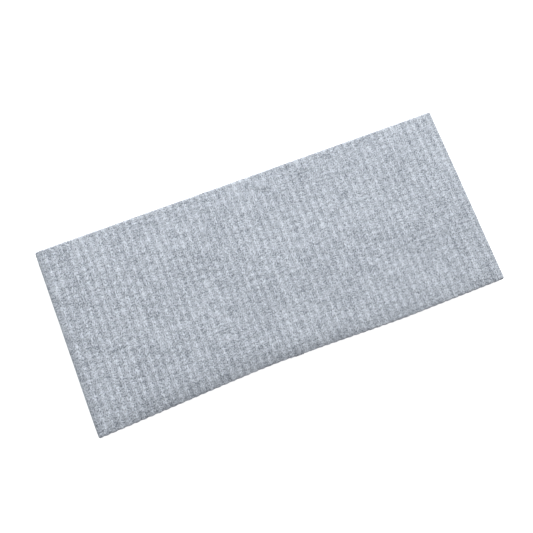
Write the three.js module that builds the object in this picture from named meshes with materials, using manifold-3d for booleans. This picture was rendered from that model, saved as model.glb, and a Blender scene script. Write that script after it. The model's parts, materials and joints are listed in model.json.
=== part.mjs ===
// A wide rib-knit spa headband, lying flat with its loop closed.
//
// The band is a loop of two-ply knit. Laid flat it makes two walls, back (below) and front (above), joined
// by a turn at each end. In every wall an outer ply wraps round both long edges, an inner ply faces the
// head, and a flat-locked thread closes the two plies along the rear edge. The two ends of the loop meet in
// a seam at the middle of the back wall. The loop is divided where it bends, so that it opens from flat to
// round.
//
// Millimetres. +X runs along the flat band, +Y across its width, +Z up. The origin is the middle of the
// footprint, on the surface that the band lies on.

import * as THREE from 'three';
import { mergeVertices } from 'three/addons/utils/BufferGeometryUtils.js';
import Module from 'manifold-3d';

const wasm = await Module();
wasm.setup();

// Driving dimensions.
const bandLength = 240;
const bandWidth = 105;
const plyThickness = 1.1;
const plyGap = 0.3;
const headGap = 1.6;
const edgeRadius = 0.9;
const cutClearance = 0.3;
const innerBendX = 24;
const outerBendX = 72;
const closingThreadWidth = 1.2;
const allowanceWidth = 7;
const seamThreadWidth = 0.8;
const overlockWidth = 1.4;
const ringSegments = 48;
const cornerSegments = 6;

// Sizes that follow from them.
const wallThickness = 2 * plyThickness + plyGap;
const bandThickness = 2 * wallThickness + headGap;
const turnRadius = bandThickness / 2;
const turnX = bandLength / 2 - turnRadius;
const rimInnerY = bandWidth / 2 - plyThickness;
const innerPlyFrontY = -rimInnerY + plyGap;
const innerPlyRearY = rimInnerY - 2 * plyGap - closingThreadWidth;
const allowanceThickness = headGap - 2 * cutClearance;
const allowanceStartX = seamThreadWidth / 2 + cutClearance;
const overlockStartX = allowanceStartX + allowanceWidth + cutClearance;

// Finishes.

function heatherKnit() {
  return new THREE.MeshStandardMaterial({ color: 0xb3bac4, roughness: 0.95, metalness: 0 });
}

function innerKnit() {
  return new THREE.MeshStandardMaterial({ color: 0xa9b0ba, roughness: 0.95, metalness: 0 });
}

function sewingThread() {
  return new THREE.MeshStandardMaterial({ color: 0x9ea5b0, roughness: 0.7, metalness: 0 });
}

// Outlines across the band: y across the width, depth measured inward from the wall's outer face.

// The outer ply: a flat panel whose two long edges turn round to the wall's inner face.
function outerPlyOutline() {
  const halfWidth = bandWidth / 2;
  const quarterTurn = Math.PI / 2;
  const outline = new THREE.Shape();
  outline.moveTo(-rimInnerY, plyThickness);
  outline.lineTo(-rimInnerY, wallThickness);
  outline.lineTo(-halfWidth + edgeRadius, wallThickness);
  outline.absarc(-halfWidth + edgeRadius, wallThickness - edgeRadius, edgeRadius, quarterTurn, Math.PI);
  outline.absarc(-halfWidth + edgeRadius, edgeRadius, edgeRadius, Math.PI, 3 * quarterTurn);
  outline.absarc(halfWidth - edgeRadius, edgeRadius, edgeRadius, 3 * quarterTurn, 4 * quarterTurn);
  outline.absarc(halfWidth - edgeRadius, wallThickness - edgeRadius, edgeRadius, 0, quarterTurn);
  outline.lineTo(rimInnerY, wallThickness);
  outline.lineTo(rimInnerY, plyThickness);
  outline.closePath();
  return outline;
}

function rectangleOutline(yFrom, yTo, depthFrom, depthTo) {
  const outline = new THREE.Shape();
  outline.moveTo(yFrom, depthFrom);
  outline.lineTo(yTo, depthFrom);
  outline.lineTo(yTo, depthTo);
  outline.lineTo(yFrom, depthTo);
  outline.closePath();
  return outline;
}

function innerPlyOutline() {
  return rectangleOutline(innerPlyFrontY, innerPlyRearY, plyThickness + plyGap, wallThickness);
}

// The flat-locked thread lies in the channel between the inner ply and the rear rim.
function closingThreadOutline() {
  const yFrom = innerPlyRearY + plyGap;
  return rectangleOutline(yFrom, yFrom + closingThreadWidth, plyThickness + plyGap, wallThickness);
}

// Solids.

// A straight length of an outline, centred on X, with the outline's depth pointing up.
function straightLength(outline, length) {
  const settings = { depth: length, bevelEnabled: false, curveSegments: cornerSegments };
  const geometry = new THREE.ExtrudeGeometry(outline, settings);
  geometry.translate(0, 0, -length / 2);
  const widthToY = new THREE.Vector3(0, 1, 0);
  const depthToZ = new THREE.Vector3(0, 0, 1);
  const lengthToX = new THREE.Vector3(1, 0, 0);
  geometry.applyMatrix4(new THREE.Matrix4().makeBasis(widthToY, depthToZ, lengthToX));
  return geometry;
}

function toSolid(geometry) {
  const bare = geometry.clone();
  bare.deleteAttribute('normal');
  bare.deleteAttribute('uv');
  const merged = mergeVertices(bare, 1e-4);
  const mesh = new wasm.Mesh({
    numProp: 3,
    vertProperties: new Float32Array(merged.attributes.position.array),
    triVerts: new Uint32Array(merged.index.array),
  });
  return new wasm.Manifold(mesh);
}

function toGeometry(solid) {
  const mesh = solid.getMesh();
  const geometry = new THREE.BufferGeometry();
  geometry.setAttribute('position', new THREE.BufferAttribute(mesh.vertProperties, 3));
  geometry.setIndex(new THREE.BufferAttribute(mesh.triVerts, 1));
  return geometry;
}

// An outline swept half way round the end of the band, on the side of -X, about the Y axis.
function halfTurn(outline) {
  const corners = outline.getPoints(cornerSegments);
  const profile = corners.map((corner) => new THREE.Vector2(turnRadius - corner.y, corner.x));
  if (!profile[0].equals(profile[profile.length - 1])) {
    profile.push(profile[0].clone());
  }
  const ring = toSolid(new THREE.LatheGeometry(profile, ringSegments));
  const reach = bandLength;
  const keeper = new THREE.BoxGeometry(reach, reach, reach);
  keeper.translate(-reach / 2 - cutClearance / 2, 0, 0);
  return toGeometry(ring.intersect(toSolid(keeper)));
}

function piece(name, geometry, material) {
  const mesh = new THREE.Mesh(geometry, material);
  mesh.name = name;
  return mesh;
}

// Sub-assemblies. Each one is built as part of the back wall or the left turn.

function wallSection(name, xFrom, xTo) {
  const length = xTo - xFrom - cutClearance;
  const outerPly = straightLength(outerPlyOutline(), length);
  const innerPly = straightLength(innerPlyOutline(), length);
  const closingThread = straightLength(closingThreadOutline(), length);
  const section = new THREE.Group();
  section.add(piece(`${name}_outer_ply`, outerPly, heatherKnit()));
  section.add(piece(`${name}_inner_ply`, innerPly, innerKnit()));
  section.add(piece(`${name}_closing_thread`, closingThread, sewingThread()));
  section.position.x = (xFrom + xTo) / 2;
  return section;
}

function turn(name) {
  const end = new THREE.Group();
  end.add(piece(`${name}_outer_ply`, halfTurn(outerPlyOutline()), heatherKnit()));
  end.add(piece(`${name}_inner_ply`, halfTurn(innerPlyOutline()), innerKnit()));
  end.add(piece(`${name}_closing_thread`, halfTurn(closingThreadOutline()), sewingThread()));
  return end;
}

// A strip of the back seam that lies on the back wall's inner face, running across the width.
function seamStrip(name, xFrom, xTo, material) {
  const yLength = innerPlyRearY - innerPlyFrontY;
  const strip = new THREE.BoxGeometry(xTo - xFrom, yLength, allowanceThickness);
  const mesh = piece(name, strip, material);
  mesh.position.x = (xFrom + xTo) / 2;
  mesh.position.y = (innerPlyFrontY + innerPlyRearY) / 2;
  mesh.position.z = wallThickness + cutClearance + allowanceThickness / 2;
  return mesh;
}

function backSeam() {
  const seam = new THREE.Group();
  const allowanceEndX = allowanceStartX + allowanceWidth;
  const overlockEndX = overlockStartX + overlockWidth;
  const halfThread = seamThreadWidth / 2;
  seam.add(seamStrip('back_seam_left_allowance', -allowanceEndX, -allowanceStartX, innerKnit()));
  seam.add(seamStrip('back_seam_right_allowance', allowanceStartX, allowanceEndX, innerKnit()));
  seam.add(seamStrip('back_seam_thread', -halfThread, halfThread, sewingThread()));
  seam.add(seamStrip('back_seam_left_overlock_thread', -overlockEndX, -overlockStartX, sewingThread()));
  seam.add(seamStrip('back_seam_right_overlock_thread', overlockStartX, overlockEndX, sewingThread()));
  return seam;
}

function backWall() {
  const wall = new THREE.Group();
  wall.add(wallSection('back_left_end', -turnX, -outerBendX));
  wall.add(wallSection('back_left', -outerBendX, -innerBendX));
  wall.add(wallSection('back_left_half', -innerBendX, 0));
  wall.add(wallSection('back_right_half', 0, innerBendX));
  wall.add(wallSection('back_right', innerBendX, outerBendX));
  wall.add(wallSection('back_right_end', outerBendX, turnX));
  return wall;
}

// The front wall is a back wall turned over end for end, so left and right change places.
function frontWall() {
  const wall = new THREE.Group();
  wall.add(wallSection('front_right_end', -turnX, -outerBendX));
  wall.add(wallSection('front_right', -outerBendX, -innerBendX));
  wall.add(wallSection('front_centre', -innerBendX, innerBendX));
  wall.add(wallSection('front_left', innerBendX, outerBendX));
  wall.add(wallSection('front_left_end', outerBendX, turnX));
  wall.rotation.y = Math.PI;
  wall.position.z = bandThickness;
  return wall;
}

function leftTurn() {
  const end = turn('left_turn');
  end.position.set(-turnX, 0, turnRadius);
  return end;
}

function rightTurn() {
  const end = turn('right_turn');
  end.rotation.y = Math.PI;
  end.position.set(turnX, 0, turnRadius);
  return end;
}

const headband = new THREE.Group();
headband.name = 'spa_headband';
headband.add(backWall());
headband.add(backSeam());
headband.add(frontWall());
headband.add(leftTurn());
headband.add(rightTurn());

export default headband;
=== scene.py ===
"""A wide spa headband in heather grey rib knit, lying flat with its loop closed.

The band is one knit panel, turned round both long edges and flat-locked along the rear edge to a tube, whose
two ends meet in a cross seam at the middle of the back wall. Lengths are metres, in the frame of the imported
model: +X along the flat band, +Y across its width towards the closing seam, +Z up.
"""

from __future__ import annotations

import json
import logging
import math
from dataclasses import dataclass, field
from enum import Enum

import bpy
import numpy as np
from mathutils import Matrix, Vector

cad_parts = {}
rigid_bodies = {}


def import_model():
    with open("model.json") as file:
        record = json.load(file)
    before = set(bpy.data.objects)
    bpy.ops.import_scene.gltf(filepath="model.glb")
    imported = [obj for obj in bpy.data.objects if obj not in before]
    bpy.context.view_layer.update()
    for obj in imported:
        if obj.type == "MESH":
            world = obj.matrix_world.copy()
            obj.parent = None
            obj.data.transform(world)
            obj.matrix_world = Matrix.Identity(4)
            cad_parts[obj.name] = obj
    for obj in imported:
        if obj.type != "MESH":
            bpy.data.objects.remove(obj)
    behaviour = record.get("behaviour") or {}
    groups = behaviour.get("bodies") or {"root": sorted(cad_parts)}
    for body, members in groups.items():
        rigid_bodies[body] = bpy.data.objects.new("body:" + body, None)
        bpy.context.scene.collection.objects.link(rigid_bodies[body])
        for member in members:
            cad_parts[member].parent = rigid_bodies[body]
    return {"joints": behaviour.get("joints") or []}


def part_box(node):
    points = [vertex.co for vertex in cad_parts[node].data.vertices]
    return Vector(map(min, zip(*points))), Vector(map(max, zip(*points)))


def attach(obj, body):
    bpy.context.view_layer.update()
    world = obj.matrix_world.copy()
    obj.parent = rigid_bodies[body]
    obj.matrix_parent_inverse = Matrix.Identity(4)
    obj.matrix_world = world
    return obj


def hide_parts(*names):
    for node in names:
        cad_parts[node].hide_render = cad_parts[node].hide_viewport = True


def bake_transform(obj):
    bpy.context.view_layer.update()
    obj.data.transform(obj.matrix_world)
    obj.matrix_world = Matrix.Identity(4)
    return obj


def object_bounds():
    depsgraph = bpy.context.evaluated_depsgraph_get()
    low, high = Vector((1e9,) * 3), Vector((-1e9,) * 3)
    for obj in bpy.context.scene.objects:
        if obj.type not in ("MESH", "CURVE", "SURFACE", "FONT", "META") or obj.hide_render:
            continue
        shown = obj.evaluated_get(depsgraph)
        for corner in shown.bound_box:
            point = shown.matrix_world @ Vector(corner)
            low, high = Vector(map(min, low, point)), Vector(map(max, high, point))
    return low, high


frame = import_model()
cad_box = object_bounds()

log = logging.getLogger("headband")

MM = 0.001


class Slot(Enum):
    """The record's material slots."""

    OUTER_KNIT = "outer_knit"
    INNER_KNIT = "inner_knit"
    THREAD = "thread"


class UVLayer(Enum):
    """The pieces' texture layers, both in millimetres round the loop and across the panel.

    KNIT counts the ribs, which spread where the band turns. YARN follows the length of the surface itself, so that
    the yarn's flecks keep their size there.
    """

    KNIT = "KnitMM"
    YARN = "YarnMM"


class Side(Enum):
    """The two sides of the back seam, as the sign of X."""

    LEFT = -1
    RIGHT = 1


def smooth(t: np.ndarray) -> np.ndarray:
    """Ease from 0 to 1 as t goes from 0 to 1, flat beyond both ends."""
    t = np.clip(t, 0.0, 1.0)
    return t * t * (3.0 - 2.0 * t)


@dataclass(frozen=True)
class ValueNoise:
    """Smooth seeded noise on a plane, from -1 to 1, which repeats after a whole number of cells."""

    seed: int
    cells: tuple[int, int] = (512, 512)

    def at(self, x: np.ndarray, y: np.ndarray) -> np.ndarray:
        """Read the noise.

        Args:
            x: Places along the first direction, in cells.
            y: Places along the second direction, in cells.

        Returns:
            The noise at each place.
        """
        table = np.random.default_rng(self.seed).uniform(-1.0, 1.0, self.cells)
        x0, y0 = np.floor(x).astype(int), np.floor(y).astype(int)
        fx, fy = smooth(x - x0), smooth(y - y0)
        x0, y0 = x0 % self.cells[0], y0 % self.cells[1]
        x1, y1 = (x0 + 1) % self.cells[0], (y0 + 1) % self.cells[1]
        low = table[x0, y0] * (1.0 - fx) + table[x1, y0] * fx
        high = table[x0, y1] * (1.0 - fx) + table[x1, y1] * fx
        return low * (1.0 - fy) + high * fy


@dataclass(frozen=True)
class Rib:
    """The 2x2 rib: two raised wales and two sunk ones, again and again round the loop."""

    count: int = 112
    depth: float = 0.44 * MM
    crest_share: float = 1.0
    wale_dip: float = 0.10
    wander: float = 0.035
    swell: float = 0.16
    swell_floor: float = 0.10
    wales: int = 4

    def relief(self, turns: np.ndarray, across: np.ndarray) -> np.ndarray:
        """How far the surface sinks below its crest.

        Args:
            turns: The place round the loop, in ribs from the back seam.
            across: The place across the panel, in metres.

        Returns:
            The depth below the crest, in metres, never below 0.
        """
        course = across / MM
        drift = self.wander * ValueNoise(11).at(turns * 0.5, course / 9.0)
        drift = drift + 0.5 * self.wander * ValueNoise(12).at(turns, course / 2.6)
        phase = turns + drift
        groove = smooth(np.sin(math.pi * phase) ** 2)
        wales = np.cos(2.0 * math.pi * phase * self.wales) * 0.5 + 0.5
        sunk = groove**self.crest_share + self.wale_dip * wales * (1.0 - groove)
        stitch = 1.0 + self.swell * ValueNoise(13, (448, 256)).at(turns * self.wales, course / 1.7)
        lifted = self.swell_floor * (stitch - 1.0 + self.swell)
        return self.depth * np.clip(sunk * stitch + lifted, 0.0, None)


@dataclass(frozen=True)
class EdgeRoll:
    """How a wall comes down towards a long edge, where the knit turns round.

    Attributes:
        reach: How far in from the edge the wall starts to come down.
        thinning: How far the outer face comes down towards the inner one at the edge.
        droop: How far the wall as a whole comes down at the edge.
        power: How late the wall comes down: 1 for evenly, more for closer to the edge.
    """

    reach: float
    thinning: float
    droop: float = 0.0
    power: float = 2.5

    def fall(self, from_edge: np.ndarray) -> np.ndarray:
        """How far the wall has come down, as a share, at a distance from the edge."""
        return np.clip(1.0 - from_edge / self.reach, 0.0, 1.0) ** self.power


@dataclass(frozen=True)
class Outline:
    """The small ways in which the band, laid by hand, is not a true rectangle."""

    hollow_depth: float = 2.65 * MM
    hollow_centre: float = -20.0 * MM
    hollow_left: float = 94.0 * MM
    hollow_right: float = 72.0 * MM
    hollow_softness: float = 0.10
    hollow_roundness: float = 0.25
    rear_drift: float = 0.62 * MM
    end_flare: float = 0.22 * MM

    def hollow(self, x: np.ndarray) -> np.ndarray:
        """How far the front long edge is drawn in, as a share of its deepest place."""
        away = x - self.hollow_centre
        t = away / np.where(away < 0.0, self.hollow_left, self.hollow_right)
        soft = np.hypot(t, self.hollow_softness) - self.hollow_softness
        straight = np.clip(1.0 - soft, 0.0, 1.0)
        return smooth(1.0 - soft) * self.hollow_roundness + straight * (1.0 - self.hollow_roundness)

    def warp(
        self, x: np.ndarray, y: np.ndarray, half_length: float, half_width: float
    ) -> tuple[np.ndarray, np.ndarray]:
        """Shift points to the band's real outline.

        Args:
            x: Places along the band.
            y: Places across it.
            half_length: Half the band's length.
            half_width: Half its width.

        Returns:
            The new places along and across the band.
        """
        front = np.clip(-y / half_width, 0.0, 1.0) ** 2
        rear = np.clip(y / half_width, 0.0, 1.0) ** 2
        along = np.clip(x / half_length, -1.0, 1.0)
        flared = x - self.end_flare * along * y / half_width
        return flared, y + self.hollow_depth * self.hollow(x) * front - self.rear_drift * along * rear


@dataclass(frozen=True)
class Fabric:
    """The whole loop of knit as one surface, read at any place round the loop and across the panel."""

    length: float
    width: float
    thickness: float
    nap: float = 0.75 * MM
    rib: Rib = field(default_factory=Rib)
    outline: Outline = field(default_factory=Outline)
    wall: float = 2.9 * MM
    front_roll: EdgeRoll = EdgeRoll(15.0 * MM, 1.50 * MM, 0.75 * MM, 3.0)
    rear_roll: EdgeRoll = EdgeRoll(3.0 * MM, 0.25 * MM)
    rear_smoothing: float = 0.75
    rear_smoothing_reach: float = 2.2 * MM
    front_smoothing: float = 0.30
    corner_reach: float = 9.0 * MM
    turn_squareness: float = 3.4
    evening_reach: float = 45.0 * MM
    edge_squareness: float = 2.7
    seam_inset: float = 2.2 * MM
    seam_pinch: float = 0.80
    seam_pinch_reach: float = 1.2 * MM
    wave: float = 0.22 * MM
    wave_length: float = 34.0 * MM
    probe: float = 0.05 * MM

    @property
    def half(self) -> float:
        """Half the thickness of one wall."""
        return self.wall / 2.0

    @property
    def turn_radius(self) -> float:
        """The radius of the turns at the ends, at the middle of the wall."""
        return self.thickness / 2.0 - self.half

    @property
    def turn_x(self) -> float:
        """Where the walls end and the turns begin."""
        return self.length / 2.0 - self.thickness / 2.0

    @property
    def turn_arc(self) -> float:
        """The length of one turn at the middle of the wall."""
        return math.pi * self.turn_radius

    @property
    def around(self) -> float:
        """The length of the loop at the middle of the wall."""
        return 4.0 * self.turn_x + 2.0 * self.turn_arc

    @property
    def flat(self) -> float:
        """The width of the panel's flat part, between the turned edges."""
        return self.width - self.wall

    @property
    def edge_arc(self) -> float:
        """The length of one turned long edge."""
        return math.pi * self.half

    @property
    def rib_pitch(self) -> float:
        """The length of one rib, crest to crest."""
        return self.around / self.rib.count

    @property
    def across(self) -> float:
        """The width of the knit panel before it is turned, from one side of the closing seam to the other."""
        return 2.0 * (self.flat + self.edge_arc)

    @property
    def seam_y(self) -> float:
        """Where the closing seam lies, across the band."""
        return self.flat / 2.0 - self.seam_inset

    def loop(self, s: np.ndarray) -> tuple[np.ndarray, np.ndarray, np.ndarray, np.ndarray]:
        """Follow the middle of the wall round the loop, from the back seam towards -X.

        Args:
            s: Distances round the loop.

        Returns:
            The places x and z, and the outward directions x and z.
        """
        radius, arc, turn = self.turn_radius, self.turn_arc, self.turn_x
        low, high, middle = self.half, self.thickness - self.half, self.thickness / 2.0
        ends = np.cumsum([turn, arc, 2.0 * turn, arc])
        left = (s - ends[0]) / radius
        right = (s - ends[2]) / radius
        where = [s <= ends[0], s <= ends[1], s <= ends[2], s <= ends[3]]
        over = s - ends[3]
        x = np.select(
            where,
            [-s, -turn - radius * np.sin(left), s - ends[1] - turn, turn + radius * np.sin(right)],
            turn - over,
        )
        z = np.select(
            where,
            [low + 0.0 * s, middle - radius * np.cos(left), high + 0.0 * s, middle + radius * np.cos(right)],
            low,
        )
        nx = np.select(where, [0.0 * s, -np.sin(left), 0.0 * s, np.sin(right)], 0.0)
        nz = np.select(where, [-1.0 + 0.0 * s, -np.cos(left), 1.0 + 0.0 * s, np.cos(right)], -1.0)
        return x, z, nx, nz

    def section(self, q: np.ndarray) -> tuple[np.ndarray, np.ndarray, np.ndarray, np.ndarray]:
        """Follow the panel round one wall, from the closing seam over the rear edge to the outer face.

        Args:
            q: Distances across the panel.

        Returns:
            The places y and h, where h is out from the middle of the wall, and the directions out of it.
        """
        half, flat, arc = self.half, self.flat, self.edge_arc
        ends = np.cumsum([self.seam_inset, arc, flat, arc])
        rear = np.clip((q - ends[0]) / half, 0.0, math.pi)
        front = np.clip((q - ends[2]) / half, 0.0, math.pi)
        angle = rear + front
        power = self.edge_squareness
        out = half * (np.abs(np.sin(angle)) ** power + np.abs(np.cos(angle)) ** power) ** (-1.0 / power)
        where = [q <= ends[0], q <= ends[1], q <= ends[2], q <= ends[3]]
        y = np.select(
            where,
            [
                self.seam_y + q,
                flat / 2.0 + out * np.sin(angle),
                flat / 2.0 - (q - ends[1]),
                -flat / 2.0 + out * np.sin(angle),
            ],
            -flat / 2.0 + (q - ends[3]),
        )
        h = -out * np.cos(angle)
        ny = np.where(q < (ends[1] + ends[2]) / 2.0, np.abs(np.sin(angle)), -np.abs(np.sin(angle)))
        return y, h, ny, -np.cos(angle)

    def settle(self, x: np.ndarray, y: np.ndarray, h: np.ndarray) -> np.ndarray:
        """Thin the wall towards its long edges.

        Args:
            x: Places along the band.
            y: Places across it.
            h: Places out from the middle of the wall.

        Returns:
            The new places out from the middle of the wall.
        """
        outer_share = (h + self.half) / self.wall
        edge = self.width / 2.0
        along_wall = smooth((self.length / 2.0 - np.abs(x)) / self.corner_reach)
        front = self.front_roll.fall(y + edge) * self.front_slack(x) * along_wall
        rear = self.rear_roll.fall(edge - y) * along_wall
        h = h - (self.front_roll.thinning * front + self.rear_roll.thinning * rear) * outer_share
        return h - self.front_roll.droop * front

    def front_slack(self, x: np.ndarray) -> np.ndarray:
        """How strongly the front long edge comes down, least towards the right end."""
        return 0.80 + 0.20 * self.outline.hollow(x) - 0.28 * smooth((x / self.length + 0.05) * 2.4)

    def place(self, s: np.ndarray, q: np.ndarray, lift: np.ndarray | float = 0.0) -> np.ndarray:
        """Find points on the knit.

        Args:
            s: Distances round the loop from the back seam.
            q: Distances across the panel from the closing seam.
            lift: How far the points stand off the knit's surface.

        Returns:
            The points, with x, y and z in the last direction.
        """
        x, z, nx, nz = self.loop(s)
        y, h, ny, nh = self.section(q)
        h = self.settle(x, y, h)
        from_seam = np.minimum(s, self.around - s)
        pinch = self.seam_pinch * np.exp(-((from_seam / self.seam_pinch_reach) ** 2))
        pinch = pinch * smooth((self.width / 2.0 - np.abs(y)) / (5.0 * MM))
        h = h * (1.0 - pinch)
        rear_middle = self.seam_inset + self.edge_arc / 2.0
        front_middle = rear_middle + self.edge_arc + self.flat
        level = self.rear_smoothing * np.exp(-(((q - rear_middle) / self.rear_smoothing_reach) ** 2))
        level = level + self.front_smoothing * np.exp(-(((q - front_middle) / self.rear_smoothing_reach) ** 2))
        off = lift - self.rib.relief(s / self.around * self.rib.count, q) * (1.0 - level)
        y = y + ny * off
        h = h + nh * off
        front = smooth((z - self.thickness / 2.0) / self.half)
        front = front * smooth((self.turn_x - np.abs(x)) / (12.0 * MM))
        cells = 1.0 / self.wave_length
        wave = ValueNoise(21).at((x + self.length) * cells, (y + self.width) * cells)
        wave = wave + 0.5 * ValueNoise(22).at((x + self.length) * cells * 2.3, (y + self.width) * cells * 2.3)
        z = z + self.wave * wave * front
        x = x + nx * h
        z = z + nz * h
        x, z = self.square(x, z)
        x, y = self.outline.warp(x, y, self.length / 2.0, self.width / 2.0)
        return np.stack([x, y, z], axis=-1)

    def surface_run(self, s: np.ndarray, q: np.ndarray) -> np.ndarray:
        """Measure round the loop on the knit's own surface, which is longer outside a turn and shorter inside it.

        Args:
            s: Distances round the loop at the middle of the wall.
            q: Distances across the panel.

        Returns:
            Distances round the loop on the surface, evened out over a length of wall on both sides of each turn.
        """
        _, h, _, _ = self.section(q)
        half_arc = self.turn_arc / 2.0
        first = self.turn_x + half_arc
        gained = 0.0 * s
        for middle in (first, 3.0 * first):
            past = s - middle
            turned = np.clip(past / self.turn_radius, -math.pi / 2.0, math.pi / 2.0)
            gained = gained + turned * (1.0 - smooth((np.abs(past) - half_arc) / self.evening_reach))
        return s + h * gained

    def square(self, x: np.ndarray, z: np.ndarray) -> tuple[np.ndarray, np.ndarray]:
        """Press the round turns at the ends flatter, as a folded knit lies.

        Args:
            x: Places along the band.
            z: Heights.

        Returns:
            The new places and heights.
        """
        out = np.maximum(np.abs(x) - self.turn_x, 0.0)
        up = z - self.thickness / 2.0
        reach = np.maximum(np.hypot(out, up), 1e-9)
        power = self.turn_squareness
        grow = ((out / reach) ** power + (np.abs(up) / reach) ** power) ** (-1.0 / power)
        grow = np.where(out > 0.0, grow, 1.0)
        return np.where(out > 0.0, np.sign(x) * (self.turn_x + out * grow), x), self.thickness / 2.0 + up * grow

    def normals(self, s: np.ndarray, q: np.ndarray) -> np.ndarray:
        """Find the outward directions of the knit, so that neighbouring pieces shade as one."""
        along = self.place(s + self.probe, q) - self.place(s - self.probe, q)
        across = self.place(s, q + self.probe) - self.place(s, q - self.probe)
        out = np.cross(across, along)
        return out / np.linalg.norm(out, axis=-1, keepdims=True)


@dataclass(frozen=True)
class MeshMaker:
    """Makes Blender meshes from arrays."""

    def sheet(
        self, name: str, points: np.ndarray, normals: np.ndarray, knit: np.ndarray, yarn: np.ndarray
    ) -> bpy.types.Object:
        """Make a sheet of quads from a grid of points.

        Args:
            name: The piece's name.
            points: The grid, columns by rows by 3.
            normals: The outward direction at each point.
            knit: The knit layer's texture place at each point.
            yarn: The yarn layer's texture place at each point.

        Returns:
            The new object.
        """
        columns, rows = points.shape[:2]
        index = np.arange(columns * rows).reshape(columns, rows)
        quads = np.stack([index[:-1, :-1], index[:-1, 1:], index[1:, 1:], index[1:, :-1]], axis=-1)
        flat_normals = normals.reshape(-1, 3)
        layers = {UVLayer.KNIT: knit.reshape(-1, 2), UVLayer.YARN: yarn.reshape(-1, 2)}
        made = self.mesh(name, points.reshape(-1, 3), quads.reshape(-1, 4), layers)
        made.data.normals_split_custom_set_from_vertices(flat_normals.tolist())
        return made

    def mesh(
        self, name: str, points: np.ndarray, quads: np.ndarray, layers: dict[UVLayer, np.ndarray]
    ) -> bpy.types.Object:
        """Make a smooth mesh of quads.

        Args:
            name: The piece's name.
            points: The vertices.
            quads: The four vertices of each face.
            layers: One texture place for each vertex, for each texture layer.

        Returns:
            The new object.
        """
        mesh = bpy.data.meshes.new(name)
        mesh.vertices.add(len(points))
        mesh.vertices.foreach_set("co", points.astype(np.float32).ravel())
        mesh.loops.add(quads.size)
        mesh.loops.foreach_set("vertex_index", quads.astype(np.int32).ravel())
        mesh.polygons.add(len(quads))
        mesh.polygons.foreach_set("loop_start", np.arange(0, quads.size, 4, dtype=np.int32))
        mesh.update(calc_edges=True)
        for kind, uv in layers.items():
            layer = mesh.uv_layers.new(name=kind.value)
            layer.data.foreach_set("uv", uv[quads.ravel()].astype(np.float32).ravel())
        mesh.shade_smooth()
        made = bpy.data.objects.new(name, mesh)
        bpy.context.scene.collection.objects.link(made)
        return made

    def tube(self, name: str, paths: list[np.ndarray], radius: float) -> bpy.types.Object:
        """Make one mesh of six-sided threads with closed ends.

        Args:
            name: The piece's name.
            paths: The line that each thread follows.
            radius: The thread's radius.

        Returns:
            The new object.
        """
        points, quads, uvs, first, sides = [], [], [], 0, 6
        for path in paths:
            steps = len(path)
            tangent = np.gradient(path, axis=0)
            tangent /= np.linalg.norm(tangent, axis=1, keepdims=True)
            side = np.cross(tangent, np.array([0.31, 0.17, 0.93]))
            side /= np.linalg.norm(side, axis=1, keepdims=True)
            up = np.cross(side, tangent)
            angle = np.linspace(0.0, 2.0 * math.pi, sides, endpoint=False)
            shrink = np.ones(steps)
            shrink[[0, -1]] = 0.35
            ring = np.cos(angle)[None, :, None] * side[:, None] + np.sin(angle)[None, :, None] * up[:, None]
            points.append((path[:, None] + radius * shrink[:, None, None] * ring).reshape(-1, 3))
            run = np.concatenate([[0.0], np.cumsum(np.linalg.norm(np.diff(path, axis=0), axis=1))]) / MM
            turn = np.broadcast_to(angle / (2.0 * math.pi), (steps, sides))
            uvs.append(np.stack([np.broadcast_to(run[:, None], (steps, sides)), turn], axis=-1).reshape(-1, 2))
            at = np.arange(steps * sides).reshape(steps, sides) + first
            nxt = np.roll(at, -1, axis=1)
            quads.append(np.stack([at[:-1], nxt[:-1], nxt[1:], at[1:]], axis=-1).reshape(-1, 4))
            low, high = at[0], at[-1]
            quads += [low[[[3, 2, 1, 0]]], low[[[5, 4, 3, 0]]], high[[[0, 1, 2, 3]]], high[[[0, 3, 4, 5]]]]
            first += steps * sides
        return self.mesh(
            name, np.concatenate(points), np.concatenate(quads), {UVLayer.KNIT: np.concatenate(uvs)}
        )


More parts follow.
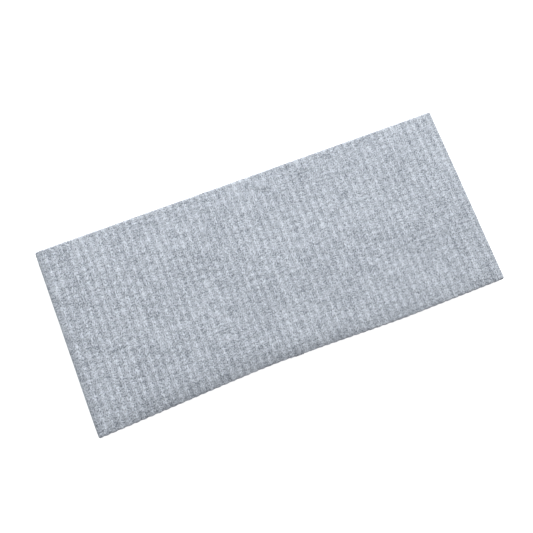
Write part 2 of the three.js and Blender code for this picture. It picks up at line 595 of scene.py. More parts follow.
class GroupMaker:
    """Builds shader node groups with named sockets."""

    def __init__(self, name: str) -> None:
        """Start an empty group.

        Args:
            name: The group's name.
        """
        self.tree = bpy.data.node_groups.new(name, "ShaderNodeTree")
        self.inputs = self.tree.nodes.new("NodeGroupInput")
        self.outputs = self.tree.nodes.new("NodeGroupOutput")

    def socket(self, name: str, kind: str, into: bool, value: float | tuple | None = None) -> None:
        """Add a named socket.

        Args:
            name: The socket's name.
            kind: Float, Color or Vector.
            into: Whether it is an input.
            value: An input's value where nothing is linked.
        """
        made = self.tree.interface.new_socket(
            name=name, in_out="INPUT" if into else "OUTPUT", socket_type=f"NodeSocket{kind}"
        )
        if value is not None:
            made.default_value = value

    def math(self, operation: str, *values: object) -> bpy.types.NodeSocket:
        """Add a Math node and return its result."""
        node = self.tree.nodes.new("ShaderNodeMath")
        node.operation = operation
        feed(self.tree, node, values)
        return node.outputs[0]

    def swing(self, value: object, factor: float) -> bpy.types.NodeSocket:
        """Return the size, without its sign, of the sine of a value times a factor."""
        return self.math("ABSOLUTE", self.math("SINE", self.math("MULTIPLY", value, factor)))

    def keep_in(self, value: object) -> bpy.types.NodeSocket:
        """Keep a value between 0 and 1."""
        return self.math("MINIMUM", self.math("MAXIMUM", value, 0.0), 1.0)

    def stretched(self, x: object, y: object, scale: tuple[float, float]) -> bpy.types.NodeSocket:
        """Join two values to a vector, each times its own scale."""
        return self.vector(self.math("MULTIPLY", x, scale[0]), self.math("MULTIPLY", y, scale[1]))

    def mix(self, factor: object, low: object, high: object) -> bpy.types.NodeSocket:
        """Add a colour Mix node and return its result."""
        node = self.tree.nodes.new("ShaderNodeMix")
        node.data_type = "RGBA"
        for number, value in ((0, factor), (6, low), (7, high)):
            feed_one(self.tree, node.inputs[number], value)
        return node.outputs[2]

    def noise(self, vector: object, scale: float, detail: float = 2.0) -> bpy.types.NodeSocket:
        """Add a Noise node and return its value."""
        node = self.tree.nodes.new("ShaderNodeTexNoise")
        node.inputs["Scale"].default_value = scale
        node.inputs["Detail"].default_value = detail
        feed_one(self.tree, node.inputs["Vector"], vector)
        return node.outputs["Fac"]

    def white(self, vector: object) -> bpy.types.NodeSocket:
        """Add a White Noise node, one value for each whole place, and return its value."""
        node = self.tree.nodes.new("ShaderNodeTexWhiteNoise")
        node.noise_dimensions = "2D"
        feed_one(self.tree, node.inputs["Vector"], vector)
        return node.outputs["Value"]

    def vector(self, x: object, y: object) -> bpy.types.NodeSocket:
        """Join two values to a vector."""
        node = self.tree.nodes.new("ShaderNodeCombineXYZ")
        feed(self.tree, node, (x, y))
        return node.outputs[0]

    def split(self, vector: object) -> tuple[bpy.types.NodeSocket, bpy.types.NodeSocket]:
        """Part a vector into its first two values."""
        node = self.tree.nodes.new("ShaderNodeSeparateXYZ")
        feed_one(self.tree, node.inputs[0], vector)
        return node.outputs[0], node.outputs[1]

    def give(self, name: str, value: bpy.types.NodeSocket) -> None:
        """Link a result to one of the group's outputs."""
        self.tree.links.new(value, self.outputs.inputs[name])


def feed_one(tree: bpy.types.NodeTree, socket: bpy.types.NodeSocket, value: object) -> None:
    """Link a socket to an input, or set the input's own value."""
    if isinstance(value, bpy.types.NodeSocket):
        tree.links.new(value, socket)
    else:
        socket.default_value = value


def feed(tree: bpy.types.NodeTree, node: bpy.types.Node, values: tuple) -> None:
    """Feed values to a node's inputs in order."""
    for socket, value in zip(node.inputs, values):
        feed_one(tree, socket, value)


@dataclass(frozen=True)
class StitchGroup:
    """The knit's stitches: columns of V-shaped loops on the raised wales, rows of short bars on the sunk ones."""

    name: str = "RibStitches"
    wales_per_rib: float = 4.0
    leg_slant: float = 2.2
    bar_wave: float = 0.16
    bar_height: float = 0.7
    leg_flatness: float = 0.4
    loop_flatness: float = 0.6

    def build(self) -> bpy.types.NodeTree:
        """Build the group.

        Returns:
            A tree with the inputs Place, Yarn Place, Rib Pitch and Course, and the outputs Height, Sunk, Yarn and
            Stitch. Yarn is a place that follows the lie of each loop's legs, in wales and courses.
        """
        g = GroupMaker(self.name)
        g.socket("Place", "Vector", True)
        g.socket("Yarn Place", "Vector", True)
        g.socket("Rib Pitch", "Float", True, 4.3)
        g.socket("Course", "Float", True, 0.9)
        for name, kind in (("Height", "Float"), ("Sunk", "Float"), ("Yarn", "Vector"), ("Stitch", "Float")):
            g.socket(name, kind, False)
        given = g.inputs.outputs
        along, across = g.split(given["Place"])
        yarn_along, _ = g.split(given["Yarn Place"])
        rib = g.math("DIVIDE", along, given["Rib Pitch"])
        sine = g.math("POWER", g.swing(rib, math.pi), 2.0)
        ease = g.math("SUBTRACT", 3.0, g.math("MULTIPLY", sine, 2.0))
        groove = g.math("MULTIPLY", g.math("MULTIPLY", sine, sine), ease)
        keep = g.math("SUBTRACT", 1.0, groove)
        wale = g.math("MULTIPLY", rib, self.wales_per_rib)
        in_wale = g.math("FRACT", wale)
        course = g.math("DIVIDE", across, given["Course"])
        slant = g.math("MULTIPLY", g.math("ABSOLUTE", g.math("SUBTRACT", in_wale, 0.5)), self.leg_slant)
        climbing = g.math("ADD", course, g.math("MULTIPLY", slant, keep))
        leg = g.math("POWER", g.swing(in_wale, 2.0 * math.pi), self.leg_flatness)
        loop = g.math("POWER", g.swing(climbing, math.pi), self.loop_flatness)
        wave = g.math("MULTIPLY", g.math("SINE", g.math("MULTIPLY", wale, 2.0 * math.pi)), self.bar_wave)
        bar = g.swing(g.math("ADD", course, wave), math.pi)
        knit = g.math("MULTIPLY", g.math("MULTIPLY", leg, loop), keep)
        purl = g.math("MULTIPLY", g.math("MULTIPLY", bar, self.bar_height), groove)
        g.give("Height", g.math("ADD", knit, purl))
        g.give("Sunk", groove)
        yarn_wale = g.math("DIVIDE", g.math("MULTIPLY", yarn_along, self.wales_per_rib), given["Rib Pitch"])
        g.give("Yarn", g.vector(yarn_wale, climbing))
        g.give("Stitch", g.white(g.vector(g.math("FLOOR", wale), g.math("FLOOR", climbing))))
        return g.tree


@dataclass(frozen=True)
class HeatherGroup:
    """The melange of light and dark fibres: long streaks and short flecks along the yarn, and soft mottles, mixed
    towards the dark fibres' colour by painted shade in the rib grooves, between the loops and along the back seam.
    """

    name: str = "HeatherYarn"
    stitch_weight: float = 0.26
    streak_weight: float = 1.05
    streak_scale: tuple[float, float] = (0.13, 0.74)
    fleck_weight: float = 2.8
    fleck_scale: tuple[float, float] = (1.60, 1.50)
    fibre_weight: float = 0.9
    fibre_scale: tuple[float, float] = (2.20, 6.00)
    mottle_weight: float = 0.40
    mottle_scale: float = 0.16
    broad_weight: float = 0.20
    broad_scale: float = 0.035
    # How far the painted shadow along the back seam line reaches, in millimetres.
    seam_shadow_paint_reach_mm: float = 1.3

    def build(self) -> bpy.types.NodeTree:
        """Build the group.

        Returns:
            A tree with the inputs Place, Yarn, Stitch, Height, Sunk, Dark, Middle, Light, Groove Shade, Gap Shade,
            Seam Shade and Loop Length, and the output Color.
        """
        g = GroupMaker(self.name)
        g.socket("Place", "Vector", True)
        g.socket("Yarn", "Vector", True)
        g.socket("Stitch", "Float", True, 0.5)
        g.socket("Height", "Float", True, 0.5)
        g.socket("Sunk", "Float", True, 0.0)
        g.socket("Dark", "Color", True, (0.15, 0.16, 0.18, 1.0))
        g.socket("Middle", "Color", True, (0.45, 0.49, 0.54, 1.0))
        g.socket("Light", "Color", True, (0.8, 0.85, 0.93, 1.0))
        g.socket("Groove Shade", "Float", True, 0.2)
        g.socket("Gap Shade", "Float", True, 0.2)
        g.socket("Seam Shade", "Float", True, 0.0)
        g.socket("Loop Length", "Float", True, 480.0)
        g.socket("Color", "Color", False)
        given = g.inputs.outputs
        along, across = g.split(given["Place"])
        wale, course = g.split(given["Yarn"])
        streak = g.noise(g.stretched(wale, course, self.streak_scale), 1.0, 2.0)
        fleck = g.noise(g.stretched(wale, course, self.fleck_scale), 1.0, 1.0)
        fibre = g.noise(g.stretched(wale, course, self.fibre_scale), 1.0, 0.0)
        mottle = g.noise(g.vector(along, across), self.mottle_scale, 3.0)
        broad = g.noise(g.vector(along, across), self.broad_scale, 1.0)
        mixed = 0.5
        for value, weight in (
            (given["Stitch"], self.stitch_weight),
            (streak, self.streak_weight),
            (fleck, self.fleck_weight),
            (fibre, self.fibre_weight),
            (mottle, self.mottle_weight),
            (broad, self.broad_weight),
        ):
            mixed = g.math("ADD", mixed, g.math("MULTIPLY", g.math("SUBTRACT", value, 0.5), weight))
        below = g.math("MULTIPLY", mixed, 2.0)
        above = g.math("SUBTRACT", below, 1.0)
        low, high = g.keep_in(below), g.keep_in(above)
        yarn = g.mix(high, g.mix(low, given["Dark"], given["Middle"]), given["Light"])
        # Painted shade: the sunk wales of the rib are darkened towards the dark fibres' colour, for the shade that
        # falls in the grooves.
        groove = g.math("MULTIPLY", given["Sunk"], given["Groove Shade"])
        # Painted shade: where the stitches are low, between the loops, the colour is darkened towards the dark
        # fibres' colour.
        gap = g.math("MULTIPLY", g.math("SUBTRACT", 1.0, given["Height"]), given["Gap Shade"])
        # Painted shadow: a dark line along the back seam, where the loop's two ends meet, fading out on both sides of
        # it.
        from_end = g.math("SUBTRACT", given["Loop Length"], along)
        from_seam = g.math("DIVIDE", g.math("MINIMUM", along, from_end), self.seam_shadow_paint_reach_mm)
        seam_shadow_paint_falloff = g.math("SUBTRACT", 1.0, g.keep_in(from_seam))
        seam = g.math("MULTIPLY", g.math("MULTIPLY", seam_shadow_paint_falloff, seam_shadow_paint_falloff), given["Seam Shade"])
        # All the painted shade together: the grooves, the gaps between the loops and the back seam line.
        shade = g.math("MINIMUM", g.math("ADD", g.math("ADD", groove, gap), seam), 1.0)
        g.give("Color", g.mix(shade, yarn, given["Dark"]))
        return g.tree


@dataclass(frozen=True)
class KnitFinish:
    """Soft matt rib knit in a heather melange, with painted shade in its rib grooves, between its loops and, where
    set, along the back seam.
    """

    name: str
    dark: tuple[float, float, float]
    middle: tuple[float, float, float]
    light: tuple[float, float, float]
    rib_pitch: float
    course: float = 0.92
    # How strongly the painted shade darkens the rib grooves.
    painted_groove_shade: float = 0.235
    # How strongly the painted shade darkens the low places between the loops.
    painted_gap_shade: float = 0.24
    # How strongly the painted shadow darkens the back seam line.
    painted_seam_shadow: float = 0.0
    loop_length: float = 480.0
    bump: float = 0.8
    bump_depth: float = 0.20 * MM
    roughness: float = 0.95
    sheen: float = 0.25
    sheen_roughness: float = 0.5

    def build(self, stitches: bpy.types.NodeTree, heather: bpy.types.NodeTree) -> bpy.types.Material:
        """Make the material.

        Args:
            stitches: The shared group of stitches.
            heather: The shared group of yarn colours.

        Returns:
            The new material.
        """
        material, tree, shader = plain_material(self.name)
        place = add_uv(tree, UVLayer.KNIT)
        yarn_place = add_uv(tree, UVLayer.YARN)
        knit = add_group(tree, stitches)
        knit.inputs["Rib Pitch"].default_value = self.rib_pitch
        knit.inputs["Course"].default_value = self.course
        yarn = add_group(tree, heather)
        for name, value in (
            ("Groove Shade", self.painted_groove_shade),
            ("Gap Shade", self.painted_gap_shade),
            ("Seam Shade", self.painted_seam_shadow),
            ("Loop Length", self.loop_length),
        ):
            yarn.inputs[name].default_value = value
        for name, colour in (("Dark", self.dark), ("Middle", self.middle), ("Light", self.light)):
            yarn.inputs[name].default_value = (*colour, 1.0)
        tree.links.new(place, knit.inputs["Place"])
        tree.links.new(yarn_place, knit.inputs["Yarn Place"])
        tree.links.new(place, yarn.inputs["Place"])
        for name in ("Yarn", "Stitch", "Height", "Sunk"):
            tree.links.new(knit.outputs[name], yarn.inputs[name])
        bump = tree.nodes.new("ShaderNodeBump")
        bump.inputs["Strength"].default_value = self.bump
        bump.inputs["Distance"].default_value = self.bump_depth
        tree.links.new(knit.outputs["Height"], bump.inputs["Height"])
        tree.links.new(bump.outputs["Normal"], shader.inputs["Normal"])
        tree.links.new(yarn.outputs["Color"], shader.inputs["Base Color"])
        shader.inputs["Roughness"].default_value = self.roughness
        shader.inputs["Specular IOR Level"].default_value = 0.2
        shader.inputs["Sheen Weight"].default_value = self.sheen
        shader.inputs["Sheen Roughness"].default_value = self.sheen_roughness
        return material


@dataclass(frozen=True)
class ThreadFinish:
    """Matt spun sewing thread with its twist."""

    name: str
    colour: tuple[float, float, float]
    # The second colour is painted shade, darker where the twist sinks between the plies.
    shade: tuple[float, float, float]
    twist: float = 1.6
    roughness: float = 0.75

    def build(self) -> bpy.types.Material:
        """Make the material, whose twist winds along the thread."""
        material, tree, shader = plain_material(self.name)
        wave = tree.nodes.new("ShaderNodeTexWave")
        wave.wave_type = "BANDS"
        wave.bands_direction = "DIAGONAL"
        wave.inputs["Scale"].default_value = self.twist
        ramp = tree.nodes.new("ShaderNodeValToRGB")
        # The ramp's dark end is painted shade in the twist's grooves; the same wave drives the bump.
        ramp.color_ramp.elements[0].color = (*self.shade, 1.0)
        ramp.color_ramp.elements[1].color = (*self.colour, 1.0)
        bump = tree.nodes.new("ShaderNodeBump")
        bump.inputs["Strength"].default_value = 0.4
        bump.inputs["Distance"].default_value = 0.05 * MM
        tree.links.new(add_uv(tree, UVLayer.KNIT), wave.inputs["Vector"])
        tree.links.new(wave.outputs["Fac"], ramp.inputs["Fac"])
        tree.links.new(ramp.outputs["Color"], shader.inputs["Base Color"])
        tree.links.new(wave.outputs["Fac"], bump.inputs["Height"])
        tree.links.new(bump.outputs["Normal"], shader.inputs["Normal"])
        shader.inputs["Roughness"].default_value = self.roughness
        return material


def plain_material(name: str) -> tuple[bpy.types.Material, bpy.types.NodeTree, bpy.types.Node]:
    """Start a material and return it with its tree and its Principled shader."""
    material = bpy.data.materials.new(name)
    material.use_nodes = True
    return material, material.node_tree, material.node_tree.nodes["Principled BSDF"]


def add_uv(tree: bpy.types.NodeTree, layer: UVLayer) -> bpy.types.NodeSocket:
    """Read one of the pieces' texture layers in a material."""
    node = tree.nodes.new("ShaderNodeUVMap")
    node.uv_map = layer.value
    return node.outputs["UV"]


def add_group(tree: bpy.types.NodeTree, group: bpy.types.NodeTree) -> bpy.types.Node:
    """Place a shared group in a material."""
    node = tree.nodes.new("ShaderNodeGroup")
    node.node_tree = group
    return node


@dataclass(frozen=True)
class Bend:
    """Where a length of knit turns from one body to the next, across one joint.

    Attributes:
        joint: The joint's name.
        parent: The body before the joint, going round the loop.
        child: The body after it.
        start: Where the turning starts.
        end: Where it ends.
        reach: The length of knit that this bend holds, as distances round the loop.
        stands_for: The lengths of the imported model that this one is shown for.
    """

    joint: str
    parent: str
    child: str
    start: Vector
    end: Vector
    reach: tuple[float, float]
    stands_for: tuple[str, ...]


@dataclass(frozen=True)
class LoopPlan:
    """Divides the loop of knit at the middles of its lengths, so that each division holds one joint."""

    fabric: Fabric
    wall_bend_reach: float = 17.0 * MM
    seam_bend_reach: float = 14.0 * MM
    fold_reach: float = 7.0 * MM
    fold_slant: float = math.radians(58.0)

    def bends(self) -> list[Bend]:
        """List every bend, going round the loop from the back seam.

        Returns:
            The bends, one for each joint.
        """
        joints = {joint["name"]: joint for joint in frame["joints"]}
        inner = abs(joints["back_left_inner_bend"]["pos_m"][0])
        outer = abs(joints["back_left_outer_bend"]["pos_m"][0])
        middle, edge = 2.0 * inner, 2.0 * outer - 2.0 * inner
        turn, arc = self.fabric.turn_x, self.fabric.turn_arc
        left, front, right = turn + arc / 2.0, 2.0 * turn + arc, 3.0 * turn + 1.5 * arc
        around = self.fabric.around
        cuts = [0.0, middle, edge, left, front - edge, front - middle, front]
        cuts += [front + middle, front + edge, right, around - edge, around - middle, around]
        names = [joint["name"] for joint in frame["joints"]]
        shown = [
            ("back_left_half",),
            ("back_left",),
            ("back_left_end", "left_turn"),
            ("front_left_end",),
            ("front_left",),
            ("front_centre",),
            ("front_right",),
            ("front_right_end",),
            ("right_turn",),
            ("back_right_end",),
            ("back_right",),
            ("back_right_half",),
        ]
        made = []
        for number, name in enumerate(names):
            joint = joints[name]
            start, end = self.turning(joint)
            reach = (cuts[number], cuts[number + 1])
            made.append(Bend(name, joint["parent"], joint["child"], start, end, reach, shown[number]))
        return made

    def turning(self, joint: dict) -> tuple[Vector, Vector]:
        """Say where the knit starts and ends turning at a joint.

        Args:
            joint: The joint as the record has it.

        Returns:
            The two places, before and after the joint.
        """
        x, _, z = joint["pos_m"]
        side = math.copysign(1.0, x)
        upper = z > self.fabric.thickness / 2.0
        if "fold" not in joint["name"]:
            by_seam = "back" in joint["name"] and "inner" in joint["name"]
            reach = self.seam_bend_reach if by_seam else self.wall_bend_reach
            onward = 1.0 if upper else -1.0
            return Vector((x - onward * reach, 0.0, z)), Vector((x + onward * reach, 0.0, z))
        crest = Vector((side * self.fabric.length / 2.0, 0.0, self.fabric.thickness / 2.0))
        away = Vector((-side * math.cos(self.fold_slant), 0.0, math.copysign(math.sin(self.fold_slant), z - crest.z)))
        wall = crest + away * self.fold_reach
        turn_first = joint["parent"].endswith("turn")
        return (crest, wall) if turn_first else (wall, crest)


@dataclass(frozen=True)
class KnitTube:
    """The knit panel, turned round both long edges, as one smooth surface parted at the bends."""

    fabric: Fabric
    plan: LoopPlan
    maker: MeshMaker
    columns_per_rib: int = 16
    row_step: float = 1.05 * MM
    edge_rows: int = 9
    back_gap: float = 0.02 * MM

    def rows(self) -> np.ndarray:
        """Distances across the panel at which the mesh has a row, closer on the turned edges."""
        ends = np.cumsum(
            [0.0, self.fabric.seam_inset, self.fabric.edge_arc, self.fabric.flat, self.fabric.edge_arc]
        )
        ends = np.append(ends, self.fabric.across)
        counts = [
            2,
            self.edge_rows,
            round(self.fabric.flat / self.row_step),
            self.edge_rows,
            round((self.fabric.flat - self.fabric.seam_inset) / self.row_step),
        ]
        parts = [np.linspace(a, b, n, endpoint=False) for a, b, n in zip(ends, ends[1:], counts)]
        return np.append(np.concatenate(parts), self.fabric.across)

    def build(self, material: bpy.types.Material) -> list[bpy.types.Object]:
        """Make the knit.

        Args:
            material: The knit's finish.

        Returns:
            One piece for each bend.
        """
        step = self.fabric.rib_pitch / self.columns_per_rib
        q = self.rows()
        made: list[bpy.types.Object] = []
        for bend in self.plan.bends():
            low = max(bend.reach[0], self.back_gap)
            high = min(bend.reach[1], self.fabric.around - self.back_gap)
            s = np.linspace(low, high, max(2, round((high - low) / step) + 1))
            s_grid, q_grid = np.meshgrid(s, q, indexing="ij")
            points = self.fabric.place(s_grid, q_grid)
            knit = np.stack([s_grid, q_grid], axis=-1) / MM
            yarn = np.stack([self.fabric.surface_run(s_grid, q_grid), q_grid], axis=-1) / MM
            normals = self.fabric.normals(s_grid, q_grid)
            piece = self.maker.sheet(f"{bend.joint}_knit", points, normals, knit, yarn)
            piece.data.materials.append(material)
            for length in bend.stands_for:
                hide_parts(f"{length}_outer_ply", f"{length}_inner_ply")
            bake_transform(piece)
            made.append(piece)
            log.info("%s: %d points", piece.name, len(piece.data.vertices))
        return made


@dataclass(frozen=True)
class ClosingSeam:
    """The flat-lock stitches that close the panel along the rear edge, on the face towards the head."""

    fabric: Fabric
    plan: LoopPlan
    maker: MeshMaker
    stitch: float = 2.4 * MM
    reach: float = 1.1 * MM
    thread: float = 0.16 * MM
    lift: float = 0.10 * MM
    crossing_lift: float = 0.14 * MM
    points_per_stitch: int = 10

    def path(self, low: float, high: float, shift: float) -> np.ndarray:
        """Lay one thread in a soft zigzag over the seam.

        Args:
            low: Where it starts, round the loop.
            high: Where it ends.
            shift: How far along its stitch it starts, as a share.

        Returns:
            The thread's line.
        """
        steps = max(4, round((high - low) / self.stitch * self.points_per_stitch))
        s = np.linspace(low, high, steps)
        turns = s / self.stitch + shift
        swing = np.sin(2.0 * math.pi * turns)
        swing = np.sign(swing) * np.abs(swing) ** 0.6
        over = self.lift + self.crossing_lift * np.cos(4.0 * math.pi * turns)
        rear = self.reach * np.maximum(swing, 0.0)
        front = self.fabric.across + self.reach * np.minimum(swing, 0.0)
        q = np.where(swing >= 0.0, rear, front)
        return self.fabric.place(s, q, over)

    def build(self, material: bpy.types.Material) -> list[bpy.types.Object]:
        """Make the stitches.

        Args:
            material: The thread's finish.

        Returns:
            One piece for each bend.
        """
        made: list[bpy.types.Object] = []
        for bend in self.plan.bends():
            paths = [self.path(*bend.reach, shift) for shift in (0.0, 0.5)]
            piece = self.maker.tube(f"{bend.joint}_closing_stitches", paths, self.thread)
            piece.data.materials.append(material)
            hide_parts(*[f"{length}_closing_thread" for length in bend.stands_for])
            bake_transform(piece)
            made.append(piece)
        log.info("closing seam: %d pieces", len(made))
        return made


@dataclass(frozen=True)
class BackSeam:
    """The cross seam: two turned-back allowances, bound by overlock thread, and the row that joins them."""

    fabric: Fabric
    maker: MeshMaker
    rows: int = 160
    profile_points: int = 48
    allowance_groove: float = 0.20 * MM
    side_squareness: float = 0.45
    top_squareness: float = 0.7
    end_taper: float = 0.6 * MM
    end_share: float = 0.65
    ripple: float = 0.12
    ripple_pitch: float = 2.76 * MM
    fill: float = 0.9
    waver: float = 0.18 * MM
    overlock_pitch: float = 2.6 * MM
    join_pitch: float = 2.9 * MM
    thread: float = 0.17 * MM

    def allowance(self, side: Side, material: bpy.types.Material) -> bpy.types.Object:
        """Make one allowance as a soft flattened strip.

        Args:
            side: Which side of the seam it lies on.
            material: Its finish.

        Returns:
            The new piece.
        """
        node = f"back_seam_{side.name.lower()}_allowance"
        low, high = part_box(node)
        y = np.linspace(low.y, high.y, self.rows)
        angle = np.linspace(0.0, 2.0 * math.pi, self.profile_points, endpoint=False)
        half_x, half_z = (high.x - low.x) / 2.0, (high.z - low.z) / 2.0
        round_x = np.sign(np.cos(angle)) * np.abs(np.cos(angle)) ** self.side_squareness
        round_z = np.sign(np.sin(angle)) * np.abs(np.sin(angle)) ** self.top_squareness
        ends = smooth(np.minimum(y - low.y, high.y - y) / self.end_taper) * (1.0 - self.end_share) + self.end_share
        sway = self.waver * ValueNoise(31).at(y / (6.0 * MM), 0.0 * y)
        x = (low.x + high.x) / 2.0 + half_x * round_x[None] * ends[:, None] + sway[:, None]
        ripple = 1.0 + self.ripple * np.sin(2.0 * math.pi * y / self.ripple_pitch)
        z = (low.z + high.z) / 2.0 + half_z * round_z[None] * (ends * ripple)[:, None] * self.fill
        groove = np.sin(math.pi * x / self.fabric.rib_pitch) ** 2
        z = z - np.where(round_z[None] > 0.0, self.allowance_groove * groove * round_z[None], 0.0)
        points = np.stack([x, np.broadcast_to(y[:, None], x.shape), z], axis=-1)
        index = np.arange(points[..., 0].size).reshape(self.rows, self.profile_points)
        nxt = np.roll(index, -1, axis=1)
        quads = np.stack([index[:-1], index[1:], nxt[1:], nxt[:-1]], axis=-1).reshape(-1, 4)
        caps = [self.cap(index[0], False), self.cap(index[-1], True)]
        run = angle / math.pi * (high.x - low.x) / MM
        uv = np.stack(np.broadcast_arrays(run[None], y[:, None] / MM), axis=-1).reshape(-1, 2)
        layers = {UVLayer.KNIT: uv, UVLayer.YARN: uv}
        made = self.maker.mesh(f"{node}_knit", points.reshape(-1, 3), np.concatenate([quads, *caps]), layers)
        made.data.materials.append(material)
        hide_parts(node)
        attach(made, f"back_{side.name.lower()}_half")
        return made

    def cap(self, ring: np.ndarray, forward: bool) -> np.ndarray:
        """Close the end of a strip with quads across its ring of points."""
        count = len(ring)
        rows = [
            [ring[i], ring[i + 1], ring[count - 2 - i], ring[count - 1 - i]] for i in range(count // 2 - 1)
        ]
        faces = np.array(rows)
        return faces[:, ::-1] if forward else faces

    def overlock(self, side: Side, material: bpy.types.Material) -> bpy.types.Object:
        """Make the thread that loops over an allowance's free edge.

        Args:
            side: Which side of the seam it lies on.
            material: The thread's finish.

        Returns:
            The new piece.
        """
        name = side.name.lower()
        node = f"back_seam_{name}_overlock_thread"
        edge_low, edge_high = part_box(node)
        strip_low, strip_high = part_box(f"back_seam_{name}_allowance")
        sign = float(side.value)
        outer = edge_high.x if sign > 0 else edge_low.x
        inner = (strip_high.x if sign > 0 else strip_low.x) - sign * 2.6 * MM
        count = round((edge_high.y - edge_low.y) / self.overlock_pitch)
        turns = np.linspace(0.0, count, count * 12 + 1)
        y = edge_low.y + (edge_high.y - edge_low.y) * turns / count
        swing = np.cos(2.0 * math.pi * turns) * 0.5 + 0.5
        x = inner + (outer - sign * self.thread - inner) * swing**0.8
        top = strip_high.z - 0.02 * MM
        z = top - (top - strip_low.z) * 0.5 * swing**4
        y = y + 0.25 * self.overlock_pitch * np.sin(4.0 * math.pi * turns) * 0.5
        needle_y = np.linspace(edge_low.y, edge_high.y, count * 6)
        needle = np.stack(
            [
                inner + 0.0 * needle_y,
                needle_y,
                top - 0.12 * MM + 0.1 * MM * np.abs(np.sin(math.pi * needle_y / self.overlock_pitch)),
            ],
            axis=-1,
        )
        rim = needle.copy()
        rim[:, 0] = outer - sign * self.thread
        rim[:, 2] = (edge_low.z + edge_high.z) / 2.0
        piece = self.maker.tube(f"{node}_loops", [np.stack([x, y, z], axis=-1), needle, rim], self.thread)
        piece.data.materials.append(material)
        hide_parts(node)
        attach(piece, f"back_{name}_half")
        return piece

    def join(self, material: bpy.types.Material) -> bpy.types.Object:
        """Make the row of lockstitches that joins the two ends of the loop."""
        low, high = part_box("back_seam_thread")
        count = round((high.y - low.y) / self.join_pitch)
        turns = np.linspace(0.0, count, count * 10 + 1)
        y = low.y + (high.y - low.y) * turns / count
        x = (low.x + high.x) / 2.0 + 0.08 * MM * np.sin(2.0 * math.pi * turns)
        z = low.z + 0.25 * MM + 0.22 * MM * np.abs(np.sin(math.pi * turns)) ** 0.5
        piece = self.maker.tube("back_seam_thread_stitches", [np.stack([x, y, z], axis=-1)], self.thread)
        piece.data.materials.append(material)
        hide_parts("back_seam_thread")
        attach(piece, "back_left_half")
        return piece

    def build(self, knit: bpy.types.Material, thread: bpy.types.Material) -> list[bpy.types.Object]:
        """Make the whole seam.

        Args:
            knit: The allowances' finish.
            thread: The thread's finish.

        Returns:
            Its pieces.
        """
        made = [self.allowance(side, knit) for side in Side]
        made += [self.overlock(side, thread) for side in Side]
        made.append(self.join(thread))
        log.info("back seam: %d pieces", len(made))
        return made


@dataclass(frozen=True)
class Headband:
    """The whole headband."""

    fabric: Fabric
    maker: MeshMaker = field(default_factory=MeshMaker)

    def build(self) -> list[bpy.types.Object]:
        """Make and dress every piece.

        Returns:
            The pieces.
        """
        stitches, heather = StitchGroup().build(), HeatherGroup().build()
        pitch = self.fabric.rib_pitch / MM
        outer = KnitFinish(
            "heather_rib_knit",
            dark=(0.140, 0.158, 0.186),
            middle=(0.548, 0.595, 0.674),
            light=(0.875, 0.930, 1.000),
            rib_pitch=pitch,
            # The outer knit paints a shadow along the back seam line.
            painted_seam_shadow=0.65,
            loop_length=self.fabric.around / MM,
        ).build(stitches, heather)
        inner = KnitFinish(
            "heather_rib_knit_cut_edge",
            dark=(0.215, 0.240, 0.276),
            middle=(0.430, 0.468, 0.525),
            light=(0.665, 0.712, 0.790),
            rib_pitch=pitch,
            painted_groove_shade=0.15,
        ).build(stitches, heather)
        thread = ThreadFinish("grey_sewing_thread", (0.47, 0.50, 0.55), (0.34, 0.365, 0.41)).build()
        plan = LoopPlan(self.fabric)
        knit = KnitTube(self.fabric, plan, self.maker).build(outer)
        closing = ClosingSeam(self.fabric, plan, self.maker).build(thread)
        back_seam = BackSeam(self.fabric, self.maker).build(inner, thread)
        self.declare(plan, knit, closing, back_seam)
        return knit + closing + back_seam

    def declare(
        self,
        plan: LoopPlan,
        knit: list[bpy.types.Object],
        closing: list[bpy.types.Object],
        back_seam: list[bpy.types.Object],
    ) -> None:
        """Gather the stitches and the allowances sewn to each length of the knit; the lists are not used further.

        Args:
            plan: How the loop is parted at the bends.
            knit: The knit's pieces, in the order of the bends.
            closing: The closing stitches, in the same order.
            back_seam: The back seam's pieces.
        """
        for bend, piece, stitches in zip(plan.bends(), knit, closing):
            sewn = [stitches]
            if bend.parent == "back_left_half":
                sewn += [other for other in back_seam if "right" not in other.name]
            if bend.child == "back_right_half":
                sewn += [other for other in back_seam if "right" in other.name]


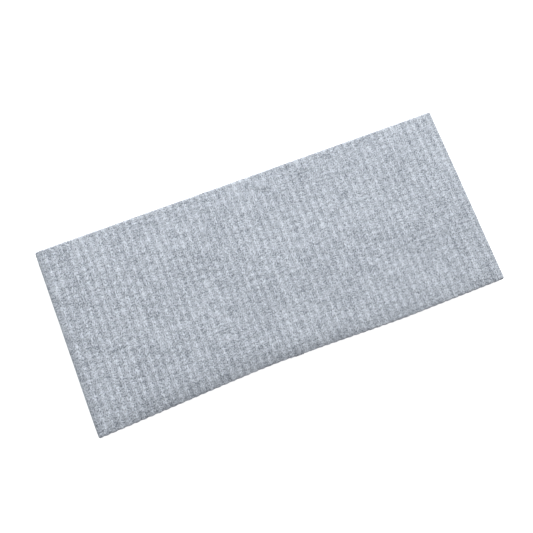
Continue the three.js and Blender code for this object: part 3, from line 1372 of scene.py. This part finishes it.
@dataclass(frozen=True)
class Studio:
    """A plain white table, soft light from all round and a camera nearly overhead."""

    table_size: float = 6.0
    table_colour: tuple[float, float, float] = (0.93, 0.93, 0.93)
    table_glow: float = 2.0
    table_glow_share: float = 0.46
    sky: float = 0.453
    key_power: float = 17.5
    key_size: float = 0.7
    key_place: tuple[float, float, float] = (0.28, 0.92, 0.66)
    azimuth: float = math.radians(-39.1)
    elevation: float = math.radians(79.4)
    roll: float = math.radians(17.9)
    distance: float = 0.4133
    lens: float = 50.0
    aim: tuple[float, float, float] = (-3.3 * MM, 1.5 * MM, 3.5 * MM)

    def table(self) -> bpy.types.Object:
        """Make the white table that the band lies on."""
        half = self.table_size / 2.0
        mesh = bpy.data.meshes.new("table_top")
        corners = [(-half, -half, 0.0), (half, -half, 0.0), (half, half, 0.0), (-half, half, 0.0)]
        mesh.from_pydata(corners, [], [(0, 1, 2, 3)])
        material, tree, shader = plain_material("white_table")
        shader.inputs["Base Color"].default_value = (*self.table_colour, 1.0)
        shader.inputs["Roughness"].default_value = 0.9
        shader.inputs["Specular IOR Level"].default_value = 0.1
        glow = tree.nodes.new("ShaderNodeEmission")
        glow.inputs["Strength"].default_value = self.table_glow
        seen = tree.nodes.new("ShaderNodeLightPath")
        share = tree.nodes.new("ShaderNodeMath")
        share.operation = "MULTIPLY"
        share.inputs[1].default_value = self.table_glow_share
        mix = tree.nodes.new("ShaderNodeMixShader")
        tree.links.new(seen.outputs["Is Camera Ray"], share.inputs[0])
        tree.links.new(share.outputs[0], mix.inputs["Fac"])
        tree.links.new(shader.outputs["BSDF"], mix.inputs[1])
        tree.links.new(glow.outputs["Emission"], mix.inputs[2])
        tree.links.new(mix.outputs["Shader"], tree.nodes["Material Output"].inputs["Surface"])
        mesh.materials.append(material)
        table = bpy.data.objects.new("table_top", mesh)
        bpy.context.scene.collection.objects.link(table)
        return table

    def light(self) -> None:
        """Light the table from a pale sky and one large soft lamp."""
        world = bpy.data.worlds.new("pale_sky")
        world.use_nodes = True
        tree = world.node_tree
        background = tree.nodes["Background"]
        background.inputs["Color"].default_value = (1.0, 1.0, 1.0, 1.0)
        background.inputs["Strength"].default_value = self.sky
        backdrop = tree.nodes.new("ShaderNodeBackground")
        backdrop.inputs["Color"].default_value = (1.0, 1.0, 1.0, 1.0)
        seen = tree.nodes.new("ShaderNodeLightPath")
        mix = tree.nodes.new("ShaderNodeMixShader")
        tree.links.new(seen.outputs["Is Camera Ray"], mix.inputs["Fac"])
        tree.links.new(background.outputs["Background"], mix.inputs[1])
        tree.links.new(backdrop.outputs["Background"], mix.inputs[2])
        tree.links.new(mix.outputs["Shader"], tree.nodes["World Output"].inputs["Surface"])
        bpy.context.scene.world = world
        lamp = bpy.data.lights.new("soft_key", "AREA")
        lamp.shape = "DISK"
        lamp.size = self.key_size
        lamp.energy = self.key_power
        key = bpy.data.objects.new("soft_key", lamp)
        key.location = self.key_place
        key.rotation_euler = (Vector((0.0, 0.0, 0.0)) - key.location).to_track_quat("-Z", "Y").to_euler()
        bpy.context.scene.collection.objects.link(key)

    def camera(self) -> None:
        """Set the camera nearly overhead, turned a little on its own axis."""
        level = math.cos(self.elevation)
        back = Vector(
            (math.sin(self.azimuth) * level, -math.cos(self.azimuth) * level, math.sin(self.elevation))
        )
        right = Vector((math.cos(self.azimuth), math.sin(self.azimuth), 0.0))
        up = back.cross(right)
        rolled_right = right * math.cos(self.roll) + up * math.sin(self.roll)
        rolled_up = up * math.cos(self.roll) - right * math.sin(self.roll)
        data = bpy.data.cameras.new("overhead_camera")
        data.lens = self.lens
        data.sensor_width = 36.0
        data.clip_start = 0.01
        camera = bpy.data.objects.new("overhead_camera", data)
        turn = Matrix((rolled_right, rolled_up, back)).transposed()
        camera.matrix_world = Matrix.Translation(Vector(self.aim) + back * self.distance) @ turn.to_4x4()
        bpy.context.scene.collection.objects.link(camera)
        bpy.context.scene.camera = camera

    def build(self) -> None:
        """Set up the table, the light and the camera."""
        self.table()
        self.light()
        self.camera()
        bpy.context.scene.view_settings.view_transform = "Standard"


def write_sizes() -> None:
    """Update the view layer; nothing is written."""
    bpy.context.view_layer.update()


def main() -> None:
    """Build the headband and the studio in order."""
    logging.basicConfig(level=logging.INFO, format="%(name)s: %(message)s")
    low, high = cad_box
    size = high - low
    Studio().build()
    pieces = Headband(Fabric(size.x, size.y + 2.0 * Fabric.nap, size.z)).build()
    log.info("headband: %d pieces", len(pieces))
    write_sizes()


if __name__ == "__main__":
    main()
